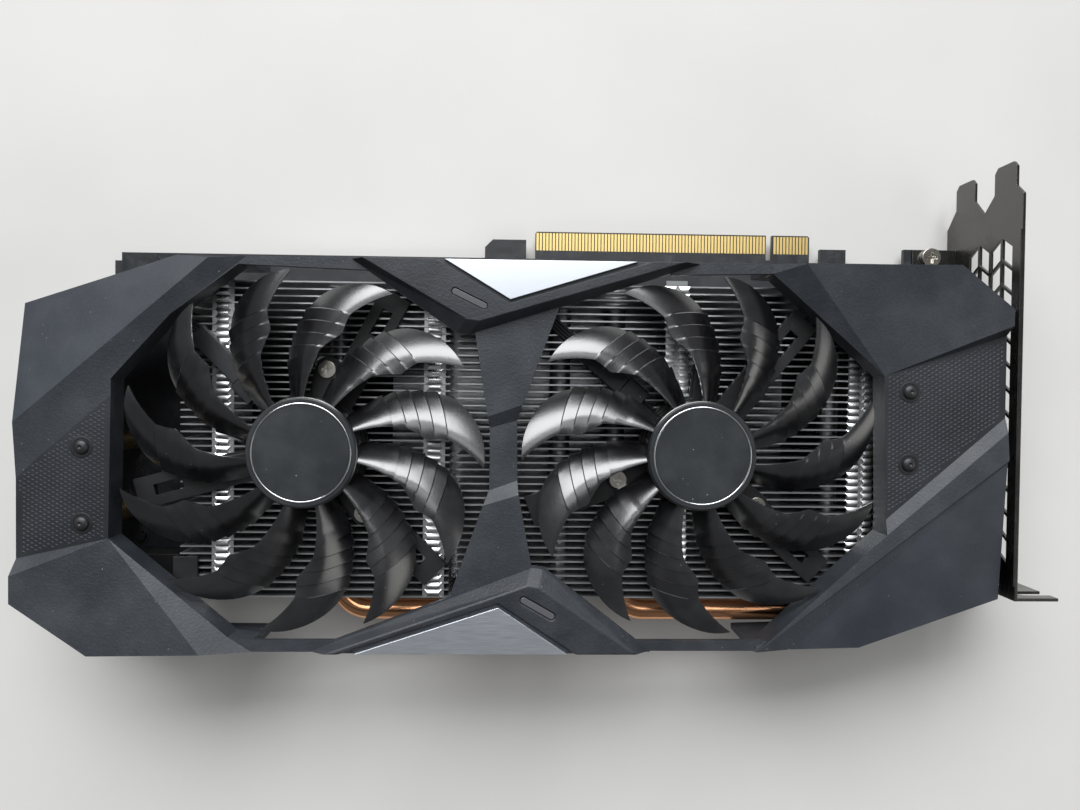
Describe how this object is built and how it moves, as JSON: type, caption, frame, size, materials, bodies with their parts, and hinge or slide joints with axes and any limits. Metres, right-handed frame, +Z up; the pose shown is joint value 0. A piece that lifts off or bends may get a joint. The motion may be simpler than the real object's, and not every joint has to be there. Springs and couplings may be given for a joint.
{
  "type": "graphics card",
  "caption": "Dual-fan graphics card in a faceted dark shroud with silver triangle trims, finned heatsink, edge contacts and a vented slot bracket.",
  "frame": {"origin": "centre of the bottom of the bounding box, the card lying on its backplate with the fans up", "axes": "+X from the free end of the card to the mounting bracket, +Y to the edge contacts, +Z up through the fans"},
  "size_m": [0.2798, 0.1352, 0.0406],
  "materials": {
    "shroud_plastic": "satin, fine leather grain",
    "wing_plastic": "satin, fine leather grain",
    "inlay_metal": "satin",
    "smoked_insert": "gloss",
    "black_screw": "satin",
    "standoff_brass": "satin",
    "fan_plastic": "satin",
    "cap_plastic": "satin",
    "trim_silver": "polished",
    "rotor_steel": "plain",
    "magnet": "matt",
    "shaft_steel": "ground",
    "spider_plastic": "matt",
    "motor_plastic": "matt",
    "stator_steel": "laminated",
    "copper_wire": "enamelled",
    "small_board": "satin",
    "screw_steel": "plated",
    "lead_cover_plastic": "satin",
    "lead_sleeve": "matt",
    "header_plastic": "matt",
    "fin_aluminium": "plain",
    "pipe_copper": "plain",
    "base_aluminium": "machined",
    "cold_copper": "machined",
    "thermal_pad": "matt",
    "strap_steel": "satin",
    "board_laminate": "satin",
    "contact_gold": "plated",
    "package_laminate": "satin",
    "silicon": "polished",
    "chip_plastic": "matt",
    "choke_grey": "matt",
    "can_aluminium": "satin",
    "socket_plastic": "matt",
    "pin_metal": "tinned",
    "backplate_metal": "satin",
    "bracket_steel": "nickel plated",
    "shell_steel": "stamped"
  },
  "bodies": {
    "card": {"backplate": "backplate_metal", "backplate_screws": "black_screw", "base_plate": "base_aluminium", "bracket": "bracket_steel", "bracket_screw": "screw_steel", "capacitors": "can_aluminium", "chip_die": "silicon", "chip_package": "package_laminate", "circuit_board": "board_laminate", "cold_plate": "cold_copper", "display_sockets": "shell_steel", "edge_contacts": "contact_gold", "fan_bearings": "standoff_brass", "fan_boards": "small_board", "fan_headers": "header_plastic", "heatsink_straps": "strap_steel", "inductors": "choke_grey", "lead_covers": "lead_cover_plastic", "left_fan_lead": "lead_sleeve", "left_fins": "fin_aluminium", "left_heat_pipe": "pipe_copper", "left_motor_base": "motor_plastic", "left_spider": "spider_plastic", "left_stator": "stator_steel", "lower_inlay": "inlay_metal", "lower_wing": "wing_plastic", "memory_chips": "chip_plastic", "memory_pads": "thermal_pad", "mosfets": "chip_plastic", "motor_screws": "screw_steel", "power_pins": "pin_metal", "power_socket": "socket_plastic", "right_fan_lead": "lead_sleeve", "right_fins": "fin_aluminium", "right_heat_pipe": "pipe_copper", "right_motor_base": "motor_plastic", "right_spider": "spider_plastic", "right_stator": "stator_steel", "shroud": "shroud_plastic", "shroud_screws": "black_screw", "shroud_standoffs": "standoff_brass", "slot_inserts": "smoked_insert", "socket_tongues": "socket_plastic", "spring_screws": "screw_steel", "stator_coils": "copper_wire", "upper_inlay": "inlay_metal", "upper_wing": "wing_plastic"},
    "left_fan": {"left_impeller": "fan_plastic", "left_hub_cap": "cap_plastic", "left_trim_ring": "trim_silver", "left_rotor_yoke": "rotor_steel", "left_magnet_ring": "magnet", "left_shaft": "shaft_steel"},
    "right_fan": {"right_impeller": "fan_plastic", "right_hub_cap": "cap_plastic", "right_trim_ring": "trim_silver", "right_rotor_yoke": "rotor_steel", "right_magnet_ring": "magnet", "right_shaft": "shaft_steel"}
  },
  "joints": [
    {"name": "left_fan_spin", "type": "hinge", "parent": "card", "child": "left_fan", "pos_m": [-0.06525, -0.01405, 0.034], "axis": [0, 0, 1], "continuous": true},
    {"name": "right_fan_spin", "type": "hinge", "parent": "card", "child": "right_fan", "pos_m": [0.04155, -0.01405, 0.034], "axis": [0, 0, 1], "continuous": true}
  ]
}
